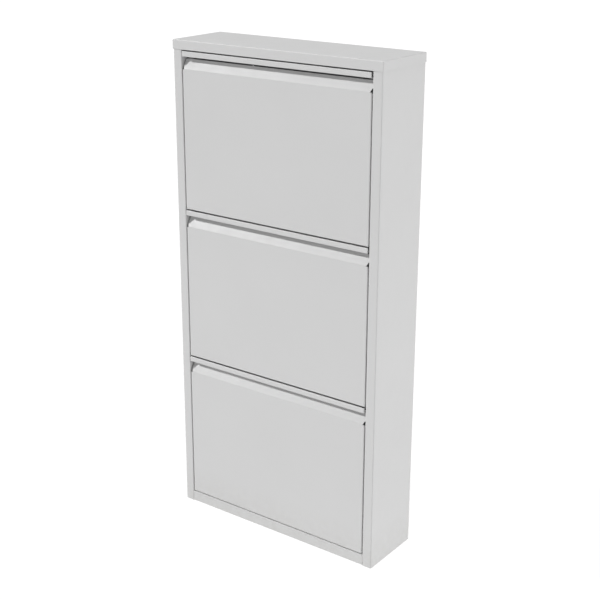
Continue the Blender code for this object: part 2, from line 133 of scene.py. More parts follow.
# Small turned parts
FOOT_RADIUS = 0.0125
FOOT_EDGE = 0.0015
FOOT_RIM = 0.005
FOOT_NECK = 0.009
FOOT_NECK_RADIUS = 0.006
FOOT_PEG_RADIUS = 0.0026
BUSH_BORE = 0.00262
BUSH_RADIUS = 0.0037
BUSH_COLLAR = 0.0012
BUSH_COLLAR_RADIUS = 0.0055
PIN_RADIUS = 0.0025
PIN_TIP = 0.0006
PIN_TIP_RADIUS = 0.0019
PIN_HEAD = 0.0015
PIN_HEAD_RADIUS = 0.0045
STUD_RADIUS = 0.0018
STUD_RIM = 0.0008
STUD_RIM_RADIUS = 0.0026
STUD_HEAD = 0.001
STUD_HEAD_RADIUS = 0.004
SLEEVE_BORE = 0.0021
SLEEVE_RADIUS = 0.003
RAIL_SCREW_HEAD = 0.0018
RAIL_SCREW_HEAD_RADIUS = 0.0032
RAIL_SCREW_RADIUS = 0.0015
SCREW_EDGE_ROUNDING = 0.00006
RECESS_WIDTH = 0.0008
RECESS_TAPER = 0.45

# Rivets, screws and spot welds that only the looks have
RIVET_RADIUS = 0.0029
RIVET_HEAD = 0.0008
RIVET_SHANK = 0.0015
RIVET_HOLE = 0.0017
RIVET_TAIL = 0.0009
RIVET_TAIL_RADIUS = 0.0021
RIVET_TAIL_EDGE = 0.0005
RIVET_TAIL_TIP = 0.0014
MANDREL_RADIUS = 0.0009
MANDREL_RIM = 0.0001
MANDREL_DEPTH = 0.0004
CHEEK_RIVET_HEIGHTS = (0.030, 0.100, 0.170)
FLOOR_RIVETS = (-0.18, -0.06, 0.06, 0.18)
FLOOR_RIVET_BACK = 0.0095
WELD_HEIGHTS = (0.045, 0.120, 0.195, 0.262)
WELD_BACK = 0.0085
WELD_RADIUS = 0.0022
WELD_DEPTH = 0.00018
WELD_CUT = 0.001
BACK_SCREW_HEIGHTS = (0.055, 0.290, 0.525, 0.760, 0.985)
BACK_SCREW_HEAD = 0.0010
BACK_SCREW_HEAD_RADIUS = 0.0031
BACK_SCREW_RADIUS = 0.0014
BACK_SCREW_LENGTH = 0.0025
BACK_SCREW_OFFSET = 0.0005

# Camera: a long lens looking down at the cabinet from its front right
CAMERA_PLACE = (1.395, -1.885, 1.347)
CAMERA_AZIMUTH = math.radians(36.79)
CAMERA_DOWN = math.radians(18.98)
CAMERA_LENS = 72.3
CAMERA_SHIFT = (0.0188, -0.0241)
SENSOR_WIDTH = 36.0

# Light: each direction points from the cabinet to the light
WORLD_STRENGTH = 0.15
BACKDROP_STRENGTH = 0.88
KEY_DIRECTION = Vector((-1.6, -1.0, 1.1)).normalized()
KEY_STRENGTH = 2.66
KEY_ANGLE = math.radians(1.5)
FILL_DIRECTION = Vector((1.0, 0.0, 0.4)).normalized()
FILL_STRENGTH = 1.40
FILL_ANGLE = math.radians(40)
OVERHEAD_DIRECTION = Vector((0.1, 0.2, 1.0)).normalized()
OVERHEAD_STRENGTH = 1.40
OVERHEAD_ANGLE = math.radians(40)
LIGHT_TARGET = Vector((0, 0, 0.5))
LIGHT_DISTANCE = 3

# Floor: its glow keeps it pale where the cabinet shades it
FLOOR_REACH = 12
FLOOR_GREY = 0.10
FLOOR_GLOW = 0.92

X_AXIS = Vector((1, 0, 0))
Y_AXIS = Vector((0, 1, 0))
Z_AXIS = Vector((0, 0, 1))


# ---------------------------------------------------------------- mesh tools


def finish_mesh(name, bm):
    bmesh.ops.recalc_face_normals(bm, faces=bm.faces[:])
    mesh = bpy.data.meshes.new(name)
    bm.to_mesh(mesh)
    bm.free()
    return mesh


def bent_line(path, radii=None):
    """Points along a path with a round bend at each corner, each with its direction to the left."""
    points = [Vector(point) for point in path]
    radii = radii or [BEND_RADIUS] * (len(points) - 2)
    middle = []
    for index, point in enumerate(points):
        if index in (0, len(points) - 1):
            inward = (points[1] - point) if index == 0 else (points[-2] - point)
            along = inward.normalized()
            side = Vector((-along.y, along.x)) * (1 if index == 0 else -1)
            middle.append((point, side))
            continue
        before = (point - points[index - 1]).normalized()
        after = (points[index + 1] - point).normalized()
        turn = math.atan2(before.x * after.y - before.y * after.x, before.dot(after))
        side = Vector((-before.y, before.x))
        radius = radii[index - 1]
        start = point - before * radius * math.tan(abs(turn) / 2)
        centre = start + side * math.copysign(radius, turn)
        steps = max(2, math.ceil(abs(turn) / BEND_STEP))
        for step in range(steps + 1):
            rotation = Matrix.Rotation(turn * step / steps, 2)
            middle.append((centre + rotation @ (start - centre), rotation @ side))
    return middle


def folded_outline(path, radii=None):
    """Closed outline of a folded sheet with round free edges: the path is the middle of the sheet."""
    middle = bent_line(path, radii)
    start = rounded_end(middle[0], middle[1], -1)
    end = rounded_end(middle[-1], middle[-2], 1)
    inner = middle[1:-1]
    left = [point + side * HALF_SHEET for point, side in inner]
    right = [point - side * HALF_SHEET for point, side in inner]
    return left + end + right[::-1] + start


def rounded_end(end, neighbour, sense):
    """Points of the half circle that rounds a sheet's free edge, and that ends where the sheet does."""
    point, side = end
    centre = point + (neighbour[0] - point).normalized() * HALF_SHEET
    steps = range(FREE_EDGE_STEPS + 1)
    rotations = [Matrix.Rotation(-math.pi * step / FREE_EDGE_STEPS, 2) for step in steps]
    return [centre + rotation @ side * HALF_SHEET * sense for rotation in rotations]


def prism(name, outline, axis, low, high):
    """Extrudes a closed outline along an axis: (y, z) along X, (x, z) along Y or (x, y) along Z."""
    place = {
        "X": lambda u, v, w: (w, u, v),
        "Y": lambda u, v, w: (u, w, v),
        "Z": lambda u, v, w: (u, v, w),
    }[axis]
    bm = bmesh.new()
    rings = [[bm.verts.new(place(u, v, end)) for u, v in outline] for end in (low, high)]
    bm.faces.new(rings[0])
    bm.faces.new(rings[1][::-1])
    for index in range(len(outline)):
        after = (index + 1) % len(outline)
        bm.faces.new((rings[0][index], rings[0][after], rings[1][after], rings[1][index]))
    return finish_mesh(name, bm)


def block(name, low, high):
    """A box between two corners."""
    outline = [(low[0], low[1]), (high[0], low[1]), (high[0], high[1]), (low[0], high[1])]
    return prism(name, outline, "Z", low[2], high[2])


def softened(profile, radius, ring=False):
    """The same line with its corners rounded off."""
    line = [Vector(point) for point in profile]
    corners = list(zip(line, line[1:], line[2:]))
    if ring:
        corners += [(line[-2], line[-1], line[0]), (line[-1], line[0], line[1])]
    points = [] if ring else [line[0]]
    for before, corner, after in corners:
        reach = min(radius, (before - corner).length * 0.45, (after - corner).length * 0.45)
        start = corner + (before - corner).normalized() * reach
        end = corner + (after - corner).normalized() * reach
        for step in range(CORNER_STEPS + 1):
            t = step / CORNER_STEPS
            points.append(start * (1 - t) ** 2 + corner * 2 * t * (1 - t) + end * t * t)
    return points if ring else points + [line[-1]]


def turned(name, profile, centre, direction, segments=40, ring=False):
    """Turns (radius, height) points about a line through centre. A ring's profile closes on itself."""
    turn = Z_AXIS.rotation_difference(direction).to_matrix()
    bm = bmesh.new()
    rows = []
    for radius, height in profile:
        count = segments if radius > 0 else 1
        angles = [2 * math.pi * step / segments for step in range(count)]
        spots = [Vector((radius * math.cos(a), radius * math.sin(a), height)) for a in angles]
        rows.append([bm.verts.new(turn @ spot + Vector(centre)) for spot in spots])
    for row, above in zip(rows, rows[1:] + rows[:1] if ring else rows[1:]):
        for step in range(segments):
            after = (step + 1) % segments
            corners = [row[step % len(row)], row[after % len(row)]]
            corners += [above[after % len(above)], above[step % len(above)]]
            bm.faces.new(list(dict.fromkeys(corners)))
    return finish_mesh(name, bm)


def hole(centre, direction, radius, reach=0.003, segments=32):
    """A cylinder that cuts a round hole, reaching this far to each side of its centre."""
    profile = [(0, -reach), (radius, -reach), (radius, reach), (0, reach)]
    return turned("hole", profile, centre, direction, segments)


def combined(name, base, tools, operation):
    """The mesh after a Boolean with each tool mesh in turn."""
    body = bpy.data.objects.new(name, base)
    bpy.context.scene.collection.objects.link(body)
    helpers = []
    for tool in tools:
        helper = bpy.data.objects.new(name + "_tool", tool)
        bpy.context.scene.collection.objects.link(helper)
        modifier = body.modifiers.new("tool", "BOOLEAN")
        modifier.operation = operation
        modifier.object = helper
        helpers.append(helper)
    bpy.context.view_layer.update()
    graph = bpy.context.evaluated_depsgraph_get()
    mesh = bpy.data.meshes.new_from_object(body.evaluated_get(graph))
    mesh.name = name
    for obj in [body, *helpers]:
        bpy.data.objects.remove(obj)
    return mesh


def carved(name, base, tools):
    """The mesh with each tool mesh cut out of it."""
    return combined(name, base, tools, "DIFFERENCE")


def mirrored(mesh):
    """The other hand of a mesh, mirrored in X."""
    copy = mesh.copy()
    copy.transform(Matrix.Diagonal((-1, 1, 1, 1)))
    copy.flip_normals()
    return copy


def softened_edges(mesh, width=EDGE_ROUNDING):
    """The same mesh with its sharp edges rounded, as a paint film rounds them."""
    bm = bmesh.new()
    bm.from_mesh(mesh)
    bmesh.ops.remove_doubles(bm, verts=bm.verts[:], dist=1e-6)
    bmesh.ops.dissolve_limit(bm, angle_limit=math.radians(0.5), verts=bm.verts[:], edges=bm.edges[:])
    sharp = [edge for edge in bm.edges if edge.is_manifold and edge.calc_face_angle() > math.radians(40)]
    bmesh.ops.bevel(
        bm,
        geom=sharp,
        offset=width,
        offset_type="OFFSET",
        segments=2,
        profile=0.5,
        affect="EDGES",
        clamp_overlap=True,
    )
    return finish_mesh(mesh.name, bm)


def show(name, mesh, body, slot, *nodes):
    """Shows a mesh as a piece that rides on a body and stands for these CAD nodes."""
    mesh.shade_smooth()
    mesh.set_sharp_from_angle(angle=math.radians(50))
    mesh.materials.clear()
    mesh.materials.append(FINISHES[slot])
    piece = bpy.data.objects.new(name, mesh)
    bpy.context.scene.collection.objects.link(piece)
    weighted = piece.modifiers.new("weighted", "WEIGHTED_NORMAL")
    weighted.keep_sharp = True
    weighted.weight = 100
    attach(piece, body)
    if nodes:
        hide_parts(*nodes)
    return piece


def moved(mesh, shift):
    """A copy of the mesh, shifted."""
    copy = mesh.copy()
    copy.transform(Matrix.Translation(shift))
    return copy


def dress(node, mesh, like):
    """Shows a mesh modelled at the place of one CAD node in the place of another of the same shape."""
    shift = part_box(node)[0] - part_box(like)[0]
    show(node + "_fine", moved(mesh, shift), BODY_OF[node], SLOT_OF[node], node)


def dress_pairs(kind, mesh):
    """Dresses both hands of a CAD piece at every flap, from its lower right-hand mesh."""
    for hand, side in HANDS:
        handed = mesh if side > 0 else mirrored(mesh)
        for flap in FLAPS:
            dress(f"{kind}_{flap}_{hand}", handed, f"{kind}_lower_{hand}")


# ---------------------------------------------------------------- finishes


class Finish:
    """A material's node tree, with short calls for the nodes that the finishes share."""

    def __init__(self, name):
        self.material = bpy.data.materials.new(name)
        self.material.use_nodes = True
        self.nodes = self.material.node_tree.nodes
        self.shader = self.nodes["Principled BSDF"]
        self.place = self.nodes.new("ShaderNodeTexCoord").outputs["Object"]

    def link(self, output, target):
        self.material.node_tree.links.new(output, target)

    def stretched(self, scale):
        mapping = self.nodes.new("ShaderNodeMapping")
        mapping.inputs["Scale"].default_value = scale
        self.link(self.place, mapping.inputs["Vector"])
        return mapping.outputs["Vector"]

    def noise(self, scale, detail=2.0, place=None):
        node = self.nodes.new("ShaderNodeTexNoise")
        node.inputs["Scale"].default_value = scale
        node.inputs["Detail"].default_value = detail
        self.link(place or self.place, node.inputs["Vector"])
        return node.outputs["Fac"]

    def height(self):
        """The point's height above the floor."""
        node = self.nodes.new("ShaderNodeSeparateXYZ")
        self.link(self.place, node.inputs["Vector"])
        return node.outputs["Z"]

    def spread(self, value, before, after):
        """The value stretched from one range to another."""
        node = self.nodes.new("ShaderNodeMapRange")
        node.inputs["From Min"].default_value, node.inputs["From Max"].default_value = before
        node.inputs["To Min"].default_value, node.inputs["To Max"].default_value = after
        self.link(value, node.inputs["Value"])
        return node.outputs["Result"]

    def maths(self, operation, first, second):
        node = self.nodes.new("ShaderNodeMath")
        node.operation = operation
        for socket, value in zip(node.inputs, (first, second)):
            if isinstance(value, (int, float)):
                socket.default_value = value
            else:
                self.link(value, socket)
        return node.outputs["Value"]

    def blend(self, factor, first, second):
        node = self.nodes.new("ShaderNodeMix")
        node.data_type = "RGBA"
        self.link(factor, node.inputs["Factor"])
        for socket, colour in ((node.inputs[6], first), (node.inputs[7], second)):
            if isinstance(colour, tuple):
                socket.default_value = (*colour, 1)
            else:
                self.link(colour, socket)
        return node.outputs[2]

    def bumps(self, *layers):
        """Bump layers, each a height and its depth in metres."""
        normal = None
        for height, depth in layers:
            node = self.nodes.new("ShaderNodeBump")
            node.inputs["Distance"].default_value = depth
            self.link(height, node.inputs["Height"])
            if normal:
                self.link(normal, node.inputs["Normal"])
            normal = node.outputs["Normal"]
        self.link(normal, self.shader.inputs["Normal"])


def shaded(colour, factor):
    """The colour made darker or lighter."""
    return tuple(min(1.0, part * factor) for part in colour)


def powder_coat(name, colour, roughness, mottle):
    """Cured powder paint: faint orange peel, slow changes of tone, and a slightly darker, yellower tone
    towards the floor.
    """
    finish = Finish(name)
    finish.shader.inputs["Specular IOR Level"].default_value = 0.35
    cloud = finish.noise(6, 4)
    tone = finish.blend(
        finish.spread(cloud, (0.3, 0.7), (0, 1)), shaded(colour, 1 - mottle), shaded(colour, 1 + mottle)
    )
    # Darker, slightly yellower colour over the lowest 9 cm, strongest at the floor and broken up by noise.
    near_floor = finish.spread(finish.height(), (0.0, 0.09), (0.5, 0.0))
    floor_darkening = finish.maths("MULTIPLY", near_floor, finish.spread(finish.noise(90, 5), (0.35, 0.7), (0.2, 1)))
    floor_darkened_tone = finish.blend(floor_darkening, tone, shaded((colour[0], colour[1] * 0.985, colour[2] * 0.95), 0.86))
    finish.link(floor_darkened_tone, finish.shader.inputs["Base Color"])
    grain = finish.noise(55, 6)
    rough = finish.spread(grain, (0.3, 0.7), (roughness - 0.05, roughness + 0.06))
    finish.link(rough, finish.shader.inputs["Roughness"])
    finish.bumps((finish.noise(330, 2), 0.00005), (finish.noise(1500, 2), 0.000012))
    return finish.material


def zinc_plate(name):
    finish = Finish(name)
    finish.shader.inputs["Metallic"].default_value = 1.0
    cloud = finish.spread(finish.noise(260, 3), (0.35, 0.65), (0, 1))
    metal = finish.blend(cloud, (0.56, 0.57, 0.60), (0.68, 0.68, 0.66))
    finish.link(metal, finish.shader.inputs["Base Color"])
    turning = finish.noise(2200, 3, finish.stretched((0.3, 1, 1)))
    finish.link(finish.spread(turning, (0.3, 0.7), (0.26, 0.44)), finish.shader.inputs["Roughness"])
    finish.bumps((turning, 0.00001))
    return finish.material


def moulded_nylon(name):
    finish = Finish(name)
    finish.shader.inputs["Subsurface Weight"].default_value = 0.12
    finish.shader.inputs["Subsurface Scale"].default_value = 0.002
    cloud = finish.noise(180, 3)
    plastic = finish.blend(cloud, (0.74, 0.73, 0.68), (0.82, 0.81, 0.77))
    finish.link(plastic, finish.shader.inputs["Base Color"])
    grain = finish.noise(1400, 3)
    finish.link(finish.spread(grain, (0.3, 0.7), (0.38, 0.52)), finish.shader.inputs["Roughness"])
    finish.bumps((grain, 0.00002))
    return finish.material


def black_rubber(name):
    finish = Finish(name)
    grain = finish.noise(900, 4)
    finish.link(
        finish.blend(finish.spread(grain, (0.4, 0.75), (0, 1)), (0.018, 0.018, 0.019), (0.045, 0.044, 0.042)),
        finish.shader.inputs["Base Color"],
    )
    finish.link(finish.spread(grain, (0.3, 0.7), (0.62, 0.82)), finish.shader.inputs["Roughness"])
    finish.bumps((grain, 0.00004))
    return finish.material


FINISHES = {
    "powder_coat": powder_coat("powder_coat", (0.60, 0.60, 0.60), 0.46, 0.010),
    "powder_coat_inner": powder_coat("powder_coat_inner", (0.57, 0.57, 0.56), 0.52, 0.022),
    "zinc_steel": zinc_plate("zinc_steel"),
    "nylon": moulded_nylon("nylon"),
    "rubber": black_rubber("rubber"),
}


# ---------------------------------------------------------------- carcass


def add_sides():
    lip = FRONT + STILE_DEPTH - HALF_SHEET
    inner = SIDE_LOW.x + HALF_SHEET
    outer = SIDE_HIGH.x - HALF_SHEET
    rear = SIDE_HIGH.y - HALF_SHEET
    path = [
        (SIDE_LOW.x + STILE_LIP, lip),
        (inner, lip),
        (inner, FRONT + HALF_SHEET),
        (outer, FRONT + HALF_SHEET),
        (outer, rear),
        (SIDE_HIGH.x - REAR_FLANGE, rear),
    ]
    outline = folded_outline(path, [BEND_RADIUS, BEND_RADIUS, CORNER_BEND, BEND_RADIUS])
    sheet = prism("side_panel", outline, "Z", SIDE_LOW.z, SIDE_HIGH.z)
    tools = []
    for flap in FLAPS:
        tools.append(hole(JOINTS["flap_" + flap] + X_AXIS * SIDE_LOW.x, X_AXIS, BUSH_HOLE))
        screw_low, screw_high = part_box(f"rail_screw_{flap}_right")
        screw = (screw_low + screw_high) / 2
        tools.append(hole((screw.x, lip, screw.z), Y_AXIS, SCREW_HOLE))
    mesh = softened_edges(carved("side_panel", sheet, tools))
    dress("side_panel_right", mesh, "side_panel_right")
    dress("side_panel_left", mirrored(mesh), "side_panel_left")


def rounded_box(name, low, high, radius, segments):
    """A box with its upright and upper edges rounded."""
    bm = bmesh.new()
    bmesh.ops.create_cube(bm, size=1)
    size = Vector(high) - Vector(low)
    middle = (Vector(high) + Vector(low)) / 2
    place = Matrix.Translation(middle) @ Matrix.Diagonal((*size, 1))
    bmesh.ops.transform(bm, matrix=place, verts=bm.verts[:])
    sharp = [edge for edge in bm.edges if max(vert.co.z for vert in edge.verts) > low[2] + size.z / 2]
    bmesh.ops.bevel(
        bm, geom=sharp, offset=radius, offset_type="OFFSET", segments=segments, profile=0.5, affect="EDGES"
    )
    return finish_mesh(name, bm)


def add_cover():
    inset = Vector((SHEET, SHEET, SHEET))
    shell = rounded_box("top_cover", COVER_LOW, COVER_HIGH, BEND_RADIUS + HALF_SHEET, 9)
    low = COVER_LOW + inset
    low.z = COVER_LOW.z - 0.005
    hollow = rounded_box("hollow", low, COVER_HIGH - inset, BEND_RADIUS - HALF_SHEET, 6)
    dress("top_cover", softened_edges(carved("top_cover", shell, [hollow])), "top_cover")


def add_base():
    rear = BASE_HIGH.y - HALF_SHEET
    floor = PLINTH_HEIGHT - HALF_SHEET
    lowest = BASE_LOW.z + HALF_SHEET
    path = [
        (FRONT + PLINTH_RETURN, lowest),
        (FRONT + HALF_SHEET, lowest),
        (FRONT + HALF_SHEET, floor),
        (rear, floor),
        (rear, BASE_HIGH.z),
    ]
    sheet = prism("base_panel", folded_outline(path), "X", BASE_LOW.x, BASE_HIGH.x)
    tools = []
    for side in (-1, 1):
        ends = sorted((side * (SIDE_LOW.x - GAP), side * FAR))
        rear_end = FRONT + STILE_DEPTH + GAP
        tools.append(block("notch", (ends[0], -FAR, -CUT), (ends[1], rear_end, BASE_HIGH.z + CUT)))
    for row in ("front", "rear"):
        for hand, _ in HANDS:
            foot_low, foot_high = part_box(f"foot_glide_{row}_{hand}")
            foot = (foot_low + foot_high) / 2
            tools.append(hole((foot.x, foot.y, floor), Z_AXIS, FOOT_HOLE))
    dress("base_panel", softened_edges(carved("base_panel", sheet, tools)), "base_panel")


def keyhole(x, y, z):
    """A tool for a round entry hole with a narrow slot above it, whose top end is round."""
    start = math.asin(KEYHOLE_SLOT / KEYHOLE_ENTRY)
    lower = [math.pi / 2 + start + (2 * math.pi - 2 * start) * step / 40 for step in range(41)]
    upper = [math.pi * step / 20 for step in range(21)]
    entry = z - KEYHOLE_DROP
    outline = [(x + KEYHOLE_ENTRY * math.cos(a), entry + KEYHOLE_ENTRY * math.sin(a)) for a in lower]
    outline += [(x + KEYHOLE_SLOT * math.cos(a), z + KEYHOLE_SLOT * math.sin(a)) for a in upper]
    return prism("keyhole", outline, "Y", y - CUT, y + CUT)


def add_back():
    middle = (BACK_LOW.y + BACK_HIGH.y) / 2
    tools = [keyhole(side * KEYHOLE_X, middle, KEYHOLE_HEIGHT) for side in (-1, 1)]
    sheet = carved("back_panel", block("back_panel", BACK_LOW, BACK_HIGH), tools)
    dress("back_panel", softened_edges(sheet), "back_panel")


def add_rails():
    front = RAIL_LOW.y + HALF_SHEET
    low = RAIL_LOW.z + RAIL_DROP + HALF_SHEET
    high = RAIL_HIGH.z - HALF_SHEET
    lip = RAIL_HIGH.y - HALF_SHEET
    path = [(front + RAIL_TOP_DEPTH, high), (front, high), (front, low), (lip, low), (lip, RAIL_LOW.z)]
    outline = folded_outline(path, [BEND_RADIUS, RAIL_FRONT_BEND, BEND_RADIUS])
    sheet = prism("cross_rail", outline, "X", RAIL_LOW.x, RAIL_HIGH.x)
    tab_path = [(front + RAIL_TAB_DEPTH, high), (front, high), (front, low), (front + RAIL_TAB_DEPTH, low)]
    tab_outline = [point for point, _ in bent_line(tab_path, [BEND_RADIUS, RAIL_FRONT_BEND])]
    end = SIDE_LOW.x - RAIL_END_GAP
    ear_top = RAIL_LOW.z + RAIL_DROP - RAIL_EAR_DROP
    web_end = lip - BEND_RADIUS - HALF_SHEET
    tools = [block("between", (-RAIL_EAR_INNER, web_end, 0), (RAIL_EAR_INNER, 0, (low + high) / 2))]
    tabs = []
    for hand, side in HANDS:
        ends = sorted((side * end, side * FAR))
        tools.append(block("end", (ends[0], -FAR, ear_top), (ends[1], FAR, RAIL_HIGH.z + CUT)))
        tabs.append(prism("tab", tab_outline, "X", *sorted((side * (end - SHEET), side * end))))
        screw_low, screw_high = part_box("rail_screw_lower_" + hand)
        screw = (screw_low + screw_high) / 2
        tools.append(hole((screw.x, lip, screw.z), Y_AXIS, SCREW_HOLE))
    mesh = softened_edges(combined("cross_rail", carved("cross_rail", sheet, tools), tabs, "UNION"))
    for flap in FLAPS:
        dress("cross_rail_" + flap, mesh, "cross_rail_lower")


# ---------------------------------------------------------------- flaps


def cheek_rivets():
    """Middles of the rivets that join the right cheek's rear flange to the pocket sheet."""
    x = (CHEEK_LOW.x + CHEEK_HIGH.x - BEND_RADIUS) / 2
    return [Vector((x, CHEEK_HIGH.y - SHEET, FLAP_LOW.z + height)) for height in CHEEK_RIVET_HEIGHTS]


def floor_rivets():
    """Middles of the rivets that join the pocket's floor to the flap's bottom flange."""
    return [Vector((x, FRONT + FLOOR_RIVET_BACK, FLAP_LOW.z + SHEET)) for x in FLOOR_RIVETS]


def add_flap_panels():
    middle = FRONT + HALF_SHEET
    lip = middle + GRIP_BACK
    path = [
        (FRONT + FLAP_FLANGE, FLAP_LOW.z + HALF_SHEET),
        (middle, FLAP_LOW.z + HALF_SHEET),
        (middle, FOLD),
        (lip, FOLD + GRIP_RISE),
        (lip, FOLD + GRIP_RISE - GRIP_LIP),
    ]
    outline = folded_outline(path, [FLAP_BEND, FOLD_BEND, BEND_RADIUS])
    sheet = prism("flap_panel", outline, "X", FLAP_LOW.x, FLAP_HIGH.x)
    edge = FLAP_HIGH.x - HALF_SHEET
    low = FLAP_LOW.z + FLANGE_START
    high = FOLD - FLANGE_END
    flange_path = [(edge - FLANGE_LAP, middle), (edge, middle), (edge, FRONT + FLAP_FLANGE)]
    flange_ends = (low + FLANGE_RELIEF, high - FLANGE_RELIEF)
    flange = prism("flange", folded_outline(flange_path), "Z", *flange_ends)
    notches = []
    for side in (-1, 1):
        ends = sorted((side * (FLAP_HIGH.x - BEND_RADIUS - HALF_SHEET), side * FAR))
        notches.append(block("notch", (ends[0], FRONT - CUT, low), (ends[1], FRONT + CUT, high)))
        slash = [
            (side * (FLAP_HIGH.x - RELIEF_WIDTH), FOLD - RELIEF_START),
            (side * (FLAP_HIGH.x - RELIEF_EDGE), FOLD + RELIEF_HEIGHT),
            (side * FAR, FOLD + RELIEF_HEIGHT),
            (side * FAR, FOLD - RELIEF_START),
        ]
        notches.append(prism("relief", slash, "Y", FRONT - CUT, FRONT + CUT))
    sheet = carved("flap_panel", sheet, notches)
    sheet = combined("flap_panel", sheet, [flange, mirrored(flange)], "UNION")
    holes = [hole(PIVOT + X_AXIS * side * FLAP_HIGH.x, X_AXIS, PIN_HOLE) for side in (-1, 1)]
    holes += [hole(spot - Z_AXIS * HALF_SHEET, Z_AXIS, RIVET_HOLE, SHEET) for spot in floor_rivets()]
    mesh = softened_edges(carved("flap_panel", sheet, holes))
    for flap in FLAPS:
        dress("flap_panel_" + flap, mesh, "flap_panel_lower")


def add_pocket_sheets():
    floor = POCKET_LOW.z + HALF_SHEET
    back = POCKET_HIGH.y - POCKET_LIP
    top = POCKET_HIGH.z - HALF_SHEET
    path = [(POCKET_LOW.y, floor), (back, floor), (back, top), (POCKET_HIGH.y, top)]
    sheet = prism("pocket_sheet", folded_outline(path), "X", POCKET_LOW.x, POCKET_HIGH.x)
    tools = [hole(spot + Z_AXIS * SHEET, Z_AXIS, RIVET_HOLE, SHEET) for spot in floor_rivets()]
    for spot in cheek_rivets():
        for side in (-1, 1):
            tools.append(hole((spot.x * side, spot.y - HALF_SHEET, spot.z), Y_AXIS, RIVET_HOLE, SHEET))
    mesh = softened_edges(carved("pocket_sheet", sheet, tools))
    for flap in FLAPS:
        dress("pocket_sheet_" + flap, mesh, "pocket_sheet_lower")


def add_cheeks():
    web = CHEEK_HIGH.x - HALF_SHEET
    rear = CHEEK_HIGH.y - HALF_SHEET
    path = [(web, CHEEK_LOW.y), (web, rear), (CHEEK_LOW.x, rear)]
    sheet = prism("pocket_cheek", folded_outline(path), "Z", CHEEK_LOW.z, CHEEK_HIGH.z + CUT)
    front_top = FLAP_LOW.z + CHEEK_FRONT_HEIGHT
    rear_top = FLAP_LOW.z + CHEEK_REAR_HEIGHT
    slope_end = rear + CHEEK_SLOPE_REACH
    slope = [(FRONT, front_top), (slope_end, rear_top), (slope_end, FAR), (FRONT, FAR)]
    stud_low, stud_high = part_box("stop_stud_lower_right")
    stud = (stud_low + stud_high) / 2
    tools = [
        prism("slope", slope, "X", web - 2 * CUT, web + 2 * CUT),
        hole(PIVOT + X_AXIS * web, X_AXIS, PIN_HOLE),
        hole((web, stud.y, stud.z), X_AXIS, STUD_HOLE),
    ]
    tools += [hole(spot, Y_AXIS, RIVET_HOLE) for spot in cheek_rivets()]
    for height in WELD_HEIGHTS:
        spot = Vector((CHEEK_HIGH.x - SHEET, FRONT + WELD_BACK, FLAP_LOW.z + height))
        dish = [(0, -WELD_CUT), (WELD_RADIUS, -WELD_CUT), (WELD_RADIUS, 0)]
        dish += [(WELD_RADIUS * 0.7, WELD_DEPTH), (0, WELD_DEPTH)]
        tools.append(turned("weld", dish, spot, X_AXIS, 24))
    dress_pairs("pocket_cheek", softened_edges(carved("pocket_cheek", sheet, tools)))


# ---------------------------------------------------------------- small parts


def add_feet():
    low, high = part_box("foot_glide_front_right")
    centre = (low + high) / 2
    shoulder = PLINTH_HEIGHT - SHEET - GAP
    profile = [
        (0, 0),
        (FOOT_RADIUS - FOOT_EDGE, 0),
        (FOOT_RADIUS, FOOT_EDGE),
        (FOOT_RADIUS, FOOT_RIM),
        (FOOT_NECK_RADIUS, FOOT_NECK),
        (FOOT_NECK_RADIUS, shoulder),
        (FOOT_PEG_RADIUS, shoulder),
        (FOOT_PEG_RADIUS, high.z),
        (0, high.z),
    ]
    mesh = turned("foot_glide", softened(profile, 0.0006), (centre.x, centre.y, 0), Z_AXIS, 64)
    for row in ("front", "rear"):
        for hand, _ in HANDS:
            dress(f"foot_glide_{row}_{hand}", mesh, "foot_glide_front_right")


def add_bushes():
    low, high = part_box("pivot_bush_lower_right")
    centre = (0, PIVOT.y, PIVOT.z)
    profile = [
        (BUSH_BORE, low.x),
        (BUSH_COLLAR_RADIUS, low.x),
        (BUSH_COLLAR_RADIUS, low.x + BUSH_COLLAR),
        (BUSH_RADIUS, low.x + BUSH_COLLAR),
        (BUSH_RADIUS, high.x),
        (BUSH_BORE, high.x),
    ]
    profile = softened(profile, 0.0002, True)
    dress_pairs("pivot_bush", turned("pivot_bush", profile, centre, X_AXIS, 48, True))


def add_pins():
    low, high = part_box("pivot_pin_lower_right")
    centre = (0, PIVOT.y, PIVOT.z)
    profile = [
        (0, low.x),
        (PIN_HEAD_RADIUS, low.x),
        (PIN_HEAD_RADIUS, low.x + PIN_HEAD),
        (PIN_RADIUS, low.x + PIN_HEAD),
        (PIN_RADIUS, high.x - PIN_TIP),
        (PIN_TIP_RADIUS, high.x),
        (0, high.x),
    ]
    dress_pairs("pivot_pin", turned("pivot_pin", softened(profile, 0.0003), centre, X_AXIS, 48))


def add_stops():
    low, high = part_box("stop_stud_lower_right")
    centre = (0, (low.y + high.y) / 2, (low.z + high.z) / 2)
    profile = [
        (0, low.x),
        (STUD_HEAD_RADIUS, low.x),
        (STUD_HEAD_RADIUS, low.x + STUD_HEAD),
        (STUD_RADIUS, low.x + STUD_HEAD),
        (STUD_RADIUS, high.x - STUD_RIM),
        (STUD_RIM_RADIUS, high.x - STUD_RIM),
        (STUD_RIM_RADIUS, high.x),
        (0, high.x),
    ]
    dress_pairs("stop_stud", turned("stop_stud", softened(profile, 0.00025), centre, X_AXIS, 48))
    low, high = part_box("stop_sleeve_lower_right")
    profile = [(SLEEVE_BORE, low.x), (SLEEVE_RADIUS, low.x), (SLEEVE_RADIUS, high.x), (SLEEVE_BORE, high.x)]
    profile = softened(profile, 0.0002, True)
    dress_pairs("stop_sleeve", turned("stop_sleeve", profile, centre, X_AXIS, 48, True))


